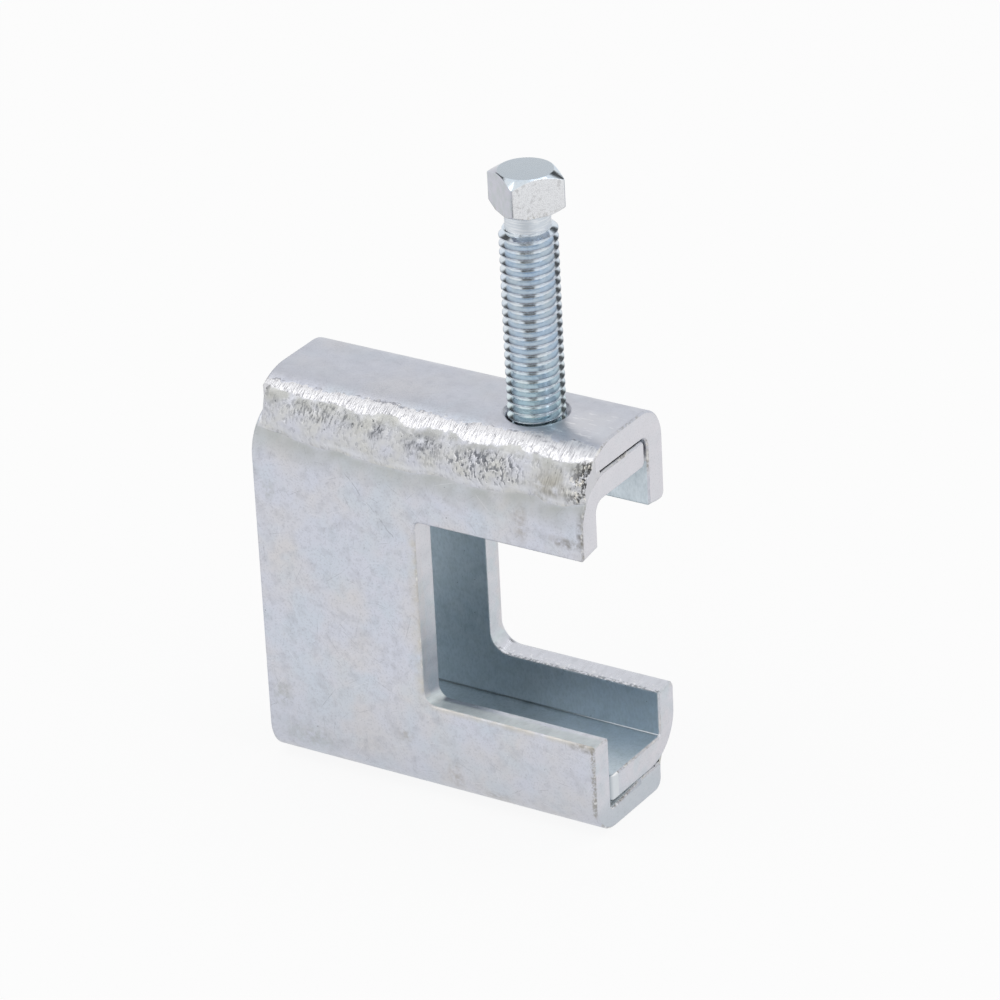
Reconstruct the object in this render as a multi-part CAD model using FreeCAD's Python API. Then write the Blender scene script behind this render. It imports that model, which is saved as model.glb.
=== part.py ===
import FreeCAD, Part
import math
import os

os.makedirs("parts", exist_ok=True)

# Beam clamp: two plate pressings lapped into a box, two weld beads and a square-head set screw.
# Millimetres. X runs from the closed back end to the open jaw, Y across the two webs, Z up.
# Zero is the middle of the length and width, on the plane that the clamp stands on.

# Overall sizes
length = 84.6
width = 33.7
height = 91.2
plate_t = 6.2
lap_gap_top = 0.4
lap_gap_bottom = 0.1
top_jaw_setback = 0.5

# Bends of the pressings
bend_out = 8.2
lap_bend_out = 10.7
bend_in = 2.4
floor_corner_in = 1.0
free_edge_inset = 6.35
lap_edge_clearance_top = 1.3
lap_edge_clearance_floor = 0.2
free_edge_low_r = 2.8
floor_lip_r = 2.8
valley_drop = 1.2
valley_start = 2.0

# Throat, the square opening towards +X
throat_from_back = 41.6
throat_low = 23.1
far_jaw_rise = 0.9
near_upper_jaw = 24.0
far_upper_jaw = 23.5
punch_breakout = 0.9
near_corner_low_r = 2.8
near_corner_high_r = 1.4
far_corner_r = 4.8
far_corner_high_r = 3.0

# Edges left by shearing
near_edge_r = 0.3
far_edge_r = 1.8
end_edge_r = 0.4
free_edge_r = 1.0

# Long top edge, welded and then dressed round
dressed_r = 14.2
weld_start_setback = 0.8
weld_toe_below_round = 1.6

# Bead under the far side, in the groove beside the lower lap
bottom_weld_start = 3.0
bottom_weld_end_setback = 3.8
bottom_weld_z = 7.2
bottom_weld_r = 3.6
dressed_fill_setback = 0.1
dressed_fill_low = 0.3
dressed_fill_high = 1.9
dressed_fill_down = 2.2
dressed_fill_up = 3.6

# Set screw, 13 threads to the inch, cup point
screw_from_back = 63.45
screw_d = 12.7
screw_run_clearance = 0.05
countersink_d = 14.7
screw_showing = 47.0
screw_length = 63.5
head_side = 12.5
head_h = 8.9
head_turn = 56.0
head_top_flat_d = 11.9
head_low_flat_d = 13.4
head_chamfer_angle = 30.0
head_corner_r = 0.5
neck_d = 9.8
neck_h = 4.0
neck_taper_h = 1.2
point_chamfer = 1.4
cup_d = 6.4
cup_depth = 1.7

half_w = width / 2.0
inner_y = half_w - plate_t
back_x = -length / 2.0
front_x = length / 2.0
throat_x = back_x + throat_from_back
screw_x = back_x + screw_from_back
top_lap_z = height - plate_t
inner_top_z = top_lap_z - lap_gap_top
inner_under_z = inner_top_z - plate_t
floor_low_z = plate_t + lap_gap_bottom
floor_z = floor_low_z + plate_t
dressed_y = -half_w + dressed_r
dressed_z = height - dressed_r
free_edge_reach = half_w - free_edge_inset
near_throat_high = height - near_upper_jaw
far_throat_high = height - far_upper_jaw
screw_under_head = height + screw_showing
weld_toe_z = dressed_z - weld_toe_below_round


def rounded_wire(corners):
    """Closed wire in the YZ plane; each corner is (y, z, radius)."""
    n = len(corners)
    cuts = []
    for i in range(n):
        y, z, r = corners[i]
        py, pz, _ = corners[i - 1]
        ny, nz, _ = corners[(i + 1) % n]
        p = FreeCAD.Vector(0, y, z)
        if r <= 0:
            cuts.append((p, p, p))
            continue
        a = FreeCAD.Vector(0, py - y, pz - z)
        b = FreeCAD.Vector(0, ny - y, nz - z)
        a.normalize()
        b.normalize()
        half = a.getAngle(b) / 2.0
        run = r / math.tan(half)
        mid = a + b
        mid.normalize()
        centre = p + mid * (r / math.sin(half))
        cuts.append((p + a * run, centre - mid * r, p + b * run))
    edges = []
    for i in range(n):
        start, middle, stop = cuts[i]
        if start.distanceToPoint(stop) > 1e-6:
            edges.append(Part.Arc(start, middle, stop).toShape())
        following = cuts[(i + 1) % n][0]
        if stop.distanceToPoint(following) > 1e-6:
            edges.append(Part.makeLine(stop, following))
    return Part.Wire(edges)


def prism(wire, x0, x1):
    """Solid with one section, running from x0 to x1."""
    solid = Part.Face(wire).extrude(FreeCAD.Vector(x1 - x0, 0, 0))
    solid.translate(FreeCAD.Vector(x0, 0, 0))
    return solid


def corner_edge(block, high):
    """The edge across the web at the back of the throat, at its low or its high corner."""
    found = []
    for edge in block.Edges:
        box = edge.BoundBox
        at_back = box.XLength < 1e-4 and abs(box.XMin - throat_x) < 1e-4
        if at_back and box.YLength > plate_t and (box.ZMin > height / 2) == high:
            found.append(edge)
    return found


def throat_punch(outer_y, inward, low, high, low_r, high_r):
    """Block that punches the throat through one web. It opens out towards the inside of the clamp,
    because the plate broke away there; inward is +1 or -1 along Y."""
    slope = punch_breakout / plate_t
    past = 1.0
    y0 = outer_y - inward * past
    y1 = outer_y + inward * (plate_t + past)
    outline = Part.makePolygon(
        [
            FreeCAD.Vector(0, y0, low + slope * past),
            FreeCAD.Vector(0, y1, low - slope * (plate_t + past)),
            FreeCAD.Vector(0, y1, high + slope * (plate_t + past)),
            FreeCAD.Vector(0, y0, high - slope * past),
            FreeCAD.Vector(0, y0, low + slope * past),
        ]
    )
    block = prism(Part.Wire(outline.Edges), throat_x, throat_x + length)
    block = block.makeFillet(low_r, corner_edge(block, False))
    return block.makeFillet(high_r, corner_edge(block, True))


def throat_edges(solid, y_plane):
    """Edges of the throat that lie in one web face."""
    found = []
    for edge in solid.Edges:
        box = edge.BoundBox
        flat = abs(box.YMin - y_plane) < 1e-3 and abs(box.YMax - y_plane) < 1e-3
        high = box.ZMin > throat_low - 0.01 and box.ZMax < far_throat_high + 0.01
        if flat and high:
            found.append(edge)
    return found


def end_edges(solid):
    """Outline of the end faces, but for the free edge that the top weld joins."""
    found = []
    for edge in solid.Edges:
        box = edge.BoundBox
        if box.XLength > 1e-3:
            continue
        for x in (back_x, front_x, front_x - top_jaw_setback):
            lap_edge = abs(box.YMin + free_edge_reach) < 1e-3 and abs(box.YMax + free_edge_reach) < 1e-3
            if abs(box.XMin - x) < 1e-3 and not lap_edge:
                found.append(edge)
    return found


# Upper jaw is a little shorter than the lower jaw
setback = Part.makeBox(
    top_jaw_setback,
    width * 2,
    height,
    FreeCAD.Vector(front_x - top_jaw_setback, -width, throat_low + 20),
)

# Threaded hole for the screw, at the screw's own diameter with running clearance
hole_r = screw_d / 2 + screw_run_clearance
hole = Part.makeCylinder(hole_r, height, FreeCAD.Vector(screw_x, 0, floor_z + 20))
countersink_depth = countersink_d / 2 - hole_r
countersink = Part.makeCone(
    hole_r,
    countersink_d / 2 + 0.2,
    countersink_depth + 0.2,
    FreeCAD.Vector(screw_x, 0, height - countersink_depth),
)

# Near half: one plate bent round three sides, its web towards -Y. Its lower flange is the bottom
# of the clamp and its upper flange is tucked under the other half.
top_tuck_y = inner_y - lap_edge_clearance_top
valley_z = plate_t - valley_drop
near_section = [
    (free_edge_reach, 0, free_edge_low_r),
    (-half_w, 0, bend_out),
    (-half_w, inner_top_z, lap_bend_out),
    (top_tuck_y, inner_top_z, free_edge_r),
    (top_tuck_y, inner_under_z, free_edge_r * 1.4),
    (-inner_y, inner_under_z, bend_in),
    (-inner_y, valley_z, floor_corner_in),
    (-inner_y + floor_corner_in * 2, valley_z, 0),
    (valley_start, plate_t, 0),
    (free_edge_reach, plate_t, 0.6),
]
near_half = prism(rounded_wire(near_section), back_x, front_x)
near_half = near_half.cut(
    throat_punch(
        -half_w,
        1,
        throat_low,
        near_throat_high,
        near_corner_low_r,
        near_corner_high_r,
    )
)
near_half = near_half.cut(setback)
near_half = near_half.makeChamfer(near_edge_r, throat_edges(near_half, -half_w))
near_half = near_half.makeChamfer(end_edge_r, end_edges(near_half))
near_half = near_half.cut(hole)
near_half.exportStep("parts/near_half.step")

# Far half: the same kind of pressing turned over, its web towards +Y. Its upper flange is the top
# of the clamp, dressed round along its free edge, and its lower flange is the jaw's floor.
floor_tuck_y = -inner_y + lap_edge_clearance_floor
far_section = [
    (-free_edge_reach, height, 0),
    (-free_edge_reach, top_lap_z, 0),
    (inner_y, top_lap_z, bend_in),
    (inner_y, floor_z, floor_corner_in),
    (floor_tuck_y, floor_z, free_edge_r * 2.0),
    (floor_tuck_y, floor_low_z, free_edge_r * 1.6),
    (half_w, floor_low_z, lap_bend_out),
    (half_w, height, bend_out),
]
far_half = prism(rounded_wire(far_section), back_x, front_x)
dressing = Part.makeBox(
    length + 2,
    half_w + dressed_y,
    dressed_r + 1,
    FreeCAD.Vector(back_x - 1, -half_w, dressed_z),
)
dressing = dressing.cut(
    Part.makeCylinder(
        dressed_r,
        length + 4,
        FreeCAD.Vector(back_x - 2, dressed_y, dressed_z),
        FreeCAD.Vector(1, 0, 0),
    )
)
far_half = far_half.cut(dressing)
far_half = far_half.cut(
    throat_punch(
        half_w,
        -1,
        throat_low + far_jaw_rise,
        far_throat_high,
        far_corner_r,
        far_corner_high_r,
    )
)
far_half = far_half.cut(setback)
far_half = far_half.makeFillet(far_edge_r, throat_edges(far_half, half_w))
far_half = far_half.makeChamfer(end_edge_r, end_edges(far_half))
lip_y = floor_tuck_y + floor_lip_r
lip_x = front_x - floor_lip_r
lip = Part.makeBox(
    floor_lip_r * 2,
    floor_lip_r * 2,
    plate_t * 2,
    FreeCAD.Vector(lip_x, lip_y - floor_lip_r * 2, floor_low_z - 1),
)
lip = lip.cut(
    Part.makeCylinder(floor_lip_r, plate_t * 3, FreeCAD.Vector(lip_x, lip_y, floor_low_z - 2))
)
far_half = far_half.cut(lip)
far_half = far_half.cut(hole)
far_half = far_half.cut(countersink)
far_half.exportStep("parts/far_half.step")

# Top weld: one long bead that fills the groove between the near bend and the free edge of the
# upper flange, dressed to the same round as that flange. Its toe thins out down the near bend.
rise = math.sqrt(dressed_r ** 2 - (free_edge_reach + dressed_y) ** 2)
side_top = FreeCAD.Vector(0, -half_w, dressed_z)
lap_high = FreeCAD.Vector(0, -free_edge_reach, dressed_z + rise)
lap_low = FreeCAD.Vector(0, -free_edge_reach, weld_toe_z)
toe = FreeCAD.Vector(0, -half_w, weld_toe_z)
turn = math.radians(150)
crest = FreeCAD.Vector(
    0,
    dressed_y + dressed_r * math.cos(turn),
    dressed_z + dressed_r * math.sin(turn),
)
bead_wire = Part.Wire(
    [
        Part.Arc(side_top, crest, lap_high).toShape(),
        Part.makeLine(lap_high, lap_low),
        Part.makeLine(lap_low, toe),
        Part.makeLine(toe, side_top),
    ]
)
weld_x0 = back_x + weld_start_setback
weld_x1 = front_x - top_jaw_setback
top_weld = prism(bead_wire, weld_x0, weld_x1)
outer_ends = []
for edge in top_weld.Edges:
    box = edge.BoundBox
    if box.XLength < 1e-4 and box.YLength > 1.0 and box.ZMin > weld_toe_z + 1.0:
        outer_ends.append(edge)
top_weld = top_weld.makeChamfer(end_edge_r, outer_ends)
top_weld = top_weld.cut(near_half)
top_weld = max(top_weld.Solids, key=lambda s: s.Volume)
top_weld.exportStep("parts/top_weld.step")

# Bottom weld: a bead in the groove between the free edge of the lower flange and the far bend. By
# the open end it is dressed flat, and it runs out flush with the end faces.
bead = Part.makeCylinder(
    bottom_weld_r,
    length - bottom_weld_start - bottom_weld_end_setback,
    FreeCAD.Vector(back_x + bottom_weld_start, free_edge_reach, bottom_weld_z),
    FreeCAD.Vector(1, 0, 0),
)
fill_x0 = front_x - bottom_weld_end_setback - bottom_weld_r
fill = Part.Wire(
    Part.makePolygon(
        [
            FreeCAD.Vector(0, free_edge_reach - 1.0, plate_t - dressed_fill_down),
            FreeCAD.Vector(0, free_edge_reach, plate_t - dressed_fill_down),
            FreeCAD.Vector(0, free_edge_reach + dressed_fill_low, plate_t),
            FreeCAD.Vector(0, free_edge_reach + dressed_fill_high, floor_low_z + dressed_fill_up),
            FreeCAD.Vector(0, free_edge_reach - 1.0, floor_low_z + dressed_fill_up),
            FreeCAD.Vector(0, free_edge_reach - 1.0, plate_t - dressed_fill_down),
        ]
    ).Edges
)
bead = bead.fuse(prism(fill, fill_x0, front_x - dressed_fill_setback))
inboard = Part.makeBox(length + 2, width, height, FreeCAD.Vector(back_x - 1, free_edge_reach - width, 0))
bottom_weld = bead.cut(inboard).cut(near_half).cut(far_half)
bottom_weld = max(bottom_weld.Solids, key=lambda s: s.Volume)
bottom_weld.exportStep("parts/bottom_weld.step")

# Set screw: square head cut by a cone above and below, relieved neck, shank and cup point
head = Part.makeBox(head_side, head_side, head_h, FreeCAD.Vector(-head_side / 2, -head_side / 2, 0))
head = head.makeFillet(head_corner_r, [e for e in head.Edges if e.BoundBox.ZLength > head_h - 0.01])
slope = math.tan(math.radians(head_chamfer_angle))
corner_reach = head_side
top_drop = (corner_reach - head_top_flat_d / 2) * slope
low_rise = (corner_reach - head_low_flat_d / 2) * slope
turned = Part.Wire(
    Part.makePolygon(
        [
            FreeCAD.Vector(0, 0, 0),
            FreeCAD.Vector(head_low_flat_d / 2, 0, 0),
            FreeCAD.Vector(corner_reach, 0, low_rise),
            FreeCAD.Vector(corner_reach, 0, head_h - top_drop),
            FreeCAD.Vector(head_top_flat_d / 2, 0, head_h),
            FreeCAD.Vector(0, 0, head_h),
            FreeCAD.Vector(0, 0, 0),
        ]
    ).Edges
)
turned = Part.Face(turned).revolve(FreeCAD.Vector(0, 0, 0), FreeCAD.Vector(0, 0, 1), 360)
head = head.common(turned)
head.rotate(FreeCAD.Vector(0, 0, 0), FreeCAD.Vector(0, 0, 1), head_turn)
head.translate(FreeCAD.Vector(screw_x, 0, screw_under_head))

shank_r = screw_d / 2
neck_r = neck_d / 2
tip_z = screw_under_head - screw_length
neck_low_z = screw_under_head - neck_h
profile = [
    (0, tip_z + cup_depth),
    (cup_d / 2, tip_z),
    (shank_r - point_chamfer, tip_z),
    (shank_r, tip_z + point_chamfer),
    (shank_r, neck_low_z - neck_taper_h),
    (neck_r, neck_low_z),
    (neck_r, screw_under_head + 1.0),
    (0, screw_under_head + 1.0),
    (0, tip_z + cup_depth),
]
shank_wire = Part.makePolygon([FreeCAD.Vector(screw_x + r, 0, z) for r, z in profile])
shank = Part.Face(Part.Wire(shank_wire.Edges))
shank = shank.revolve(FreeCAD.Vector(screw_x, 0, 0), FreeCAD.Vector(0, 0, 1), 360)
set_screw = head.fuse(shank).removeSplitter()
set_screw = max(set_screw.Solids, key=lambda s: s.Volume)
set_screw.exportStep("parts/set_screw.step")
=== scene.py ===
import math

import bmesh
import bpy
from mathutils import Matrix, Vector, noise


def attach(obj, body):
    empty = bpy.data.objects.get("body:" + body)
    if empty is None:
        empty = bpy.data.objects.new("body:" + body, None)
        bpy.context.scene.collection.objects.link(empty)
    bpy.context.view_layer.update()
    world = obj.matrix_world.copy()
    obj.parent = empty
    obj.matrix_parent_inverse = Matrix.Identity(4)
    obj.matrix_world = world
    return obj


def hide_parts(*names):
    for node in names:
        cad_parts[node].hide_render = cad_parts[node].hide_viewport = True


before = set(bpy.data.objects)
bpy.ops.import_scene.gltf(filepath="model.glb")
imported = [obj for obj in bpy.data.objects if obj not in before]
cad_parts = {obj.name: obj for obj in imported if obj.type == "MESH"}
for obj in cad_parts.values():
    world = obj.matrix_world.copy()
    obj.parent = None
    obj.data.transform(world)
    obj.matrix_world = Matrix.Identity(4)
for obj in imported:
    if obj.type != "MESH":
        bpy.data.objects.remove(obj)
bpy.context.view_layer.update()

# Near half of the clamp. One piece of 6 mm mild steel plate, sheared, punched for the throat and
# pressed round three sides, then zinc plated in a barrel with the welded clamp. The plating is pale
# lavender satin with warm and blue clouds, fine dark specks and hairline scratches from handling.


def linear(code):
    """sRGB hex to the linear colour that a shader socket takes."""
    parts = [int(code[i : i + 2], 16) / 255 for i in (1, 3, 5)]
    return [c / 12.92 if c <= 0.04045 else ((c + 0.055) / 1.055) ** 2.4 for c in parts] + [1.0]


def add(tree, kind, inputs={}, **settings):
    """Adds a node, sets its properties, fills or links its inputs, and returns its outputs. A shader
    node's kind is written without the words that all of them begin with."""
    made = tree.nodes.new(kind if "Node" in kind else "ShaderNode" + kind)
    for name, value in settings.items():
        setattr(made, name, value)
    for key, value in inputs.items():
        if isinstance(value, bpy.types.NodeSocket):
            tree.links.new(value, made.inputs[key])
        else:
            made.inputs[key].default_value = value
    return made.outputs


def new_material(name):
    """An empty material, its tree and the object's own coordinates in millimetres."""
    material = bpy.data.materials.new(name)
    material.use_nodes = True
    tree = material.node_tree
    tree.nodes.clear()
    where = add(tree, "TexCoord")["Object"]
    where = add(tree, "Mapping", {"Vector": where, "Scale": (1000, 1000, 1000)})[0]
    return material, tree, where


def bare_metal(tree, tone, rough, skin):
    """Ends a material's tree in metal of a tone and a roughness, with the given normals."""
    metal = {"Base Color": tone, "Metallic": 1.0, "Roughness": rough, "Normal": skin}
    add(tree, "OutputMaterial", {"Surface": add(tree, "BsdfPrincipled", metal)[0]})


def meet(tree, *parts):
    """Mask where all parts meet. A part is a mask, a share of it, or a value with the two figures
    between which it goes from 0 to 1."""
    whole = None
    for part in parts:
        if isinstance(part, tuple):
            value, low, high = part
            part = add(tree, "MapRange", {"Value": value, "From Min": low, "From Max": high})[0]
        if whole is None:
            whole = part
        else:
            whole = add(tree, "Math", {0: whole, 1: part}, operation="MULTIPLY")[0]
    return whole


def either(tree, *masks):
    """Mask where at least one of the masks is."""
    whole = masks[0]
    for mask in masks[1:]:
        whole = add(tree, "Math", {0: whole, 1: mask}, operation="MAXIMUM")[0]
    return whole


def lay(tree, tone, colour, *parts):
    """Lays a colour over a tone where all parts meet. Both are a hex code or a socket."""
    under, over = (linear(c) if isinstance(c, str) else c for c in (tone, colour))
    return add(tree, "Mix", {0: meet(tree, *parts), 6: under, 7: over}, data_type="RGBA")[2]


def clouds(tree, where, size, low, high, detail=2.0, seed=0.0, stretch=(1, 1, 1), turn=(0, 0, 0), to=(0, 1)):
    """Soft patches about size millimetres across, as a mask or between the two figures of to."""
    spot = add(
        tree, "Mapping",
        {"Vector": where, "Location": (seed, seed * 1.7, 0), "Rotation": turn, "Scale": stretch},
    )[0]
    field = add(tree, "TexNoise", {"Vector": spot, "Scale": 1 / size, "Detail": detail})[0]
    return add(
        tree, "MapRange",
        {"Value": field, "From Min": low, "From Max": high, "To Min": to[0], "To Max": to[1]},
    )[0]


def specks(tree, where, cell, radius, share, seed=0.0):
    """Mask of small round spots, one in a share of the cells of the given size in millimetres."""
    spot = add(tree, "Mapping", {"Vector": where, "Location": (seed, 0, seed)})[0]
    cells = add(tree, "TexVoronoi", {"Vector": spot, "Scale": 1 / cell})
    pick = add(tree, "SeparateColor", {"Color": cells["Color"]})[0]
    chosen = add(tree, "Math", {0: pick, 1: share}, operation="LESS_THAN")[0]
    return meet(tree, (cells["Distance"], radius / cell, radius * 0.4 / cell), chosen)


def hairlines(tree, where, normal, cell, width, reach, share, seed):
    """Mask of single scratches, one in a share of the cells, each lying at its own angle."""
    spot = add(tree, "Mapping", {"Vector": where, "Location": (seed, seed * 0.6, seed * 1.3)})[0]
    bent = add(tree, "TexNoise", {"Vector": spot, "Scale": 0.25 / cell, "Detail": 1.0})[1]
    bent = add(tree, "VectorMath", {0: bent, "Scale": cell * 0.5}, operation="SCALE")[0]
    spot = add(tree, "VectorMath", {0: spot, 1: bent}, operation="ADD")[0]
    cells = add(tree, "TexVoronoi", {"Vector": spot, "Scale": 1 / cell})
    local = add(tree, "VectorMath", {0: spot, 1: cells["Position"]}, operation="SUBTRACT")[0]
    pick = add(tree, "SeparateColor", {"Color": cells["Color"]})
    angle = meet(tree, pick[0], 6.28)
    turned = add(tree, "VectorRotate", {"Vector": local, "Axis": normal, "Angle": angle})[0]
    off = add(tree, "SeparateXYZ", {"Vector": turned})[0]
    off = add(tree, "Math", {0: off}, operation="ABSOLUTE")[0]
    far = add(tree, "VectorMath", {0: local}, operation="LENGTH")["Value"]
    chosen = add(tree, "Math", {0: pick[1], 1: share}, operation="LESS_THAN")[0]
    return meet(tree, (off, width, width * 0.3), (far, reach, reach * 0.6), chosen)


def stains_and_shade_patches(tree, where, broken, *spots):
    """Mask of patches, each (centre, half sizes) in millimetres, with edges broken up by a mask: stains, and
    the painted shade in the weld's hollows.
    """
    shapes = []
    for centre, reach in spots:
        moved = [-c / r for c, r in zip(centre, reach)]
        scaled = [1 / r for r in reach]
        off = add(tree, "Mapping", {"Vector": where, "Location": moved, "Scale": scaled})[0]
        far = add(tree, "VectorMath", {0: off}, operation="LENGTH")["Value"]
        shapes.append(meet(tree, (far, 1.0, 0.3)))
    return meet(tree, either(tree, *shapes), broken)


def ground_marks(tree, where):
    """Grooves of the grinding disc across the long edge, 0.3 mm apart, and the mask of what looks
    dark there, with a few gouges."""
    groove = clouds(tree, where, 0.34, 0.42, 0.70, 3.0, seed=2.0, stretch=(1, 0.16, 0.16), turn=(0, 0, 0.35))
    marks = meet(tree, groove, clouds(tree, where, 1.6, 0.30, 0.65, 3.0, seed=66.0))
    broken = clouds(tree, where, 0.6, 0.36, 0.60, 3.0, seed=67.0)
    gouges = (
        (25.3, -10.9, 88.5), (28.7, -9.2, 89.7), (26.5, -8.4, 90.0), (31.2, -9.9, 89.2),
        (31.6, -8.3, 90.0), (27.4, -11.6, 88.0),
    )
    gouges = stains_and_shade_patches(tree, where, broken, *((centre, (2.1, 0.5, 0.5)) for centre in gouges))
    return groove, either(tree, marks, gouges)


# Toe of the top weld along the near bend, and the upper edge of the band where the weld and the
# lapped flange were ground off, both as (x, height) in millimetres
half_length = 42.3
toe_line = [
    (-42, 80.9), (-36, 80.5), (-30, 79.6), (-24, 79.2), (-21, 79.5), (-16, 78.9), (-8, 78.6), (-2, 78.6),
    (6, 79.3), (11, 78.8), (16, 78.7), (21, 79.0), (26, 79.8), (30, 79.9), (32, 79.1), (36, 79.0),
    (42, 80.6),
]
ground_edge = [
    (-42, -9.0), (-34, -9.0), (-26, -9.1), (-16, -8.6), (-11, -8.4), (-5, -8.9), (0, -8.6), (8, -9.2),
    (12, -8.4), (18, -8.4), (23, -7.9), (28, -7.2), (31, -8.4), (35, -7.4), (42, -8.4),
]


def line_of(tree, x, points, bottom, top):
    """Height read along a measured line, which stays between bottom and top."""
    drawn = add(tree, "FloatCurve", {"Value": meet(tree, (x, -half_length, half_length))})[0]
    curve = drawn.node.mapping.curves[0]
    spots = [((at + half_length) / (2 * half_length), (h - bottom) / (top - bottom)) for at, h in points]
    for at, height in spots[1:-1]:
        curve.points.new(at, height)
    curve.points[0].location = spots[0]
    curve.points[-1].location = spots[-1]
    drawn.node.mapping.update()
    return add(tree, "MapRange", {"Value": drawn, "To Min": bottom, "To Max": top})[0]


plate, tree, where = new_material("zinc_plated_pressed_steel_plate")
place = add(tree, "SeparateXYZ", {"Vector": where})
normal = add(tree, "NewGeometry")["True Normal"]
facing = add(tree, "SeparateXYZ", {"Vector": normal})
across, side, depth = (
    add(tree, "Math", {0: part}, operation="ABSOLUTE")[0] for part in (facing[0], facing[1], place[1])
)

# Plating tone: lavender grey with warm clouds of 12 mm, pale blue ones of 8 mm and grey ones of 2
tone = lay(tree, "#D1D4DF", "#D4D3D6", clouds(tree, where, 12.0, 0.40, 0.66, 3.0))
tone = lay(tree, tone, "#C9D3DD", 0.5, clouds(tree, where, 8.0, 0.48, 0.66, seed=31.0))
tone = lay(tree, tone, "#AEB0B8", 0.42, clouds(tree, where, 2.2, 0.50, 0.74, 5.0, seed=12.0))
tone = lay(tree, tone, "#9A9CA4", 0.42, clouds(tree, where, 0.45, 0.50, 0.80, 3.0, seed=55.0))
# Painted shade: a little darker towards the floor, below 26 mm
tone = lay(tree, tone, "#ABAEB5", 0.3, (place[2], 26.0, 2.0))

# Painted shade along the underside of the weld toe, in greenish grey
toe = line_of(tree, place[0], toe_line, 70.0, 90.0)
below = add(tree, "Math", {0: toe, 1: place[2]}, operation="SUBTRACT")[0]
shade = meet(tree, (below, -1.0, 0.6), (below, 6.0, 1.0), (place[1], -13.0, -14.5))
tone = lay(tree, tone, "#ABAEAB", 0.75, shade, clouds(tree, where, 9.0, 0.15, 0.55, seed=4.0))

# Stains on the near web: greenish patches towards the closed end, brown ones by the jaws, and
# burnt ones at the open end
broken = clouds(tree, where, 1.3, 0.36, 0.62, 4.0, seed=27.0)
green = stains_and_shade_patches(
    tree, where, broken,
    ((-38.4, -16.85, 66.6), (2.2, 4.0, 2.8)), ((-38.5, -16.85, 16.5), (3.4, 4.0, 4.2)),
    ((-31.0, -16.0, 7.5), (10.0, 5.0, 4.0)),
)
tone = lay(tree, tone, "#A4A8A3", 0.45, green)
brown = stains_and_shade_patches(
    tree, where, broken,
    ((6.5, -16.0, 7.0), (2.6, 5.0, 5.0)), ((17.0, -15.0, 3.6), (5.0, 5.0, 2.2)),
    ((26.5, -16.85, 73.0), (2.2, 4.0, 6.0)), ((37.0, -16.85, 71.0), (6.0, 4.0, 1.8)),
    ((-6.0, -16.85, 14.0), (2.6, 4.0, 2.0)),
)
tone = lay(tree, tone, "#9C9790", 0.5, brown)
burnt = stains_and_shade_patches(
    tree, where, broken, ((39.6, -16.85, 22.3), (4.2, 3.0, 1.5)), ((41.3, -16.85, 75.0), (1.2, 3.0, 6.0))
)
smoked = stains_and_shade_patches(tree, where, broken, ((38.5, -16.85, 70.8), (4.5, 3.0, 1.4)))
tone = lay(tree, tone, "#75716C", 0.8, either(tree, burnt, meet(tree, smoked, 0.7)))

# Cream bloom along the punched edge of the near web, inside 2 mm of it
outer = meet(tree, (place[1], -16.0, -16.6))
beside = meet(tree, (place[0], -3.2, -1.0), (place[2], 22.0, 26.0), (place[2], 66.0, 62.0))
under = meet(tree, (place[2], 21.6, 22.8), (place[2], 24.2, 23.6), (place[0], -2.0, 2.0))
ragged = clouds(tree, where, 3.0, 0.30, 0.62, 4.0, seed=61.0)
tone = lay(tree, tone, "#C9C4B8", 0.65, either(tree, beside, under), outer, ragged)

# Specks of bare grey, pinholes and small bright nicks
dark = either(
    tree, specks(tree, where, 2.4, 0.15, 0.40), specks(tree, where, 1.3, 0.09, 0.40, seed=19.0),
    specks(tree, where, 7.0, 0.26, 0.45, seed=9.0),
)
tone = lay(tree, tone, "#7E8087", 0.62, dark)
bright = specks(tree, where, 3.6, 0.13, 0.30, seed=5.0)
tone = lay(tree, tone, "#F2F2F5", 0.7, bright)

# Hairline scratches, 0.1 mm wide and up to 9 mm long, dark and bright, and one long score that
# crosses the near web from the weld to the throat, read off along it and square to it
flat = meet(tree, (across, 0.6, 0.5))
scratch = either(
    tree, hairlines(tree, where, normal, 9.0, 0.09, 4.5, 0.50, 3.0),
    hairlines(tree, where, normal, 5.0, 0.07, 2.4, 0.40, 71.0),
)
scratch = meet(tree, scratch, clouds(tree, where, 1.5, 0.35, 0.55, seed=81.0), flat)
off = add(tree, "VectorMath", {0: where, 1: (0.724, 0, 0.69)}, operation="DOT_PRODUCT")["Value"]
along = add(tree, "VectorMath", {0: where, 1: (0.69, 0, -0.724)}, operation="DOT_PRODUCT")["Value"]
score_off, score_start, score_length, wander = 38.76, -67.78, 20.6, 0.35
middle = clouds(tree, where, 4.0, 0.3, 0.7, seed=90.0, to=(-score_off - wander, -score_off + wander))
off = add(tree, "Math", {0: off, 1: middle}, operation="ADD")[0]
off = add(tree, "Math", {0: off}, operation="ABSOLUTE")[0]
score = meet(
    tree, (off, 0.13, 0.05), (along, score_start, score_start + 2.0),
    (along, score_start + score_length, score_start + score_length - 2.6), outer,
    clouds(tree, where, 1.6, 0.40, 0.50, seed=91.0),
)
tone = lay(tree, tone, "#83868D", 0.42, either(tree, scratch, score))
tone = lay(tree, tone, "#EDEDF1", 0.28, flat, hairlines(tree, where, normal, 6.0, 0.08, 3.0, 0.35, 47.0))

# Top face: a touch greyer all over, rubbed paler and wiped at the open end
top = meet(tree, (facing[2], 0.6, 0.9), (place[2], 90.0, 90.6))
tone = lay(tree, tone, "#B8BBC4", 0.6, top)
rubbed = stains_and_shade_patches(tree, where, top, ((33.0, -2.0, 91.0), (16.0, 10.0, 4.0)))
tone = lay(tree, tone, "#DDDDE1", 0.35, rubbed)
wiped = clouds(tree, where, 0.6, 0.60, 0.66, 3.0, seed=69.0, stretch=(0.2, 1, 1), turn=(0, 0, 0.5))
tone = lay(tree, tone, "#F2F2F4", 0.55, rubbed, wiped)
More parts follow.
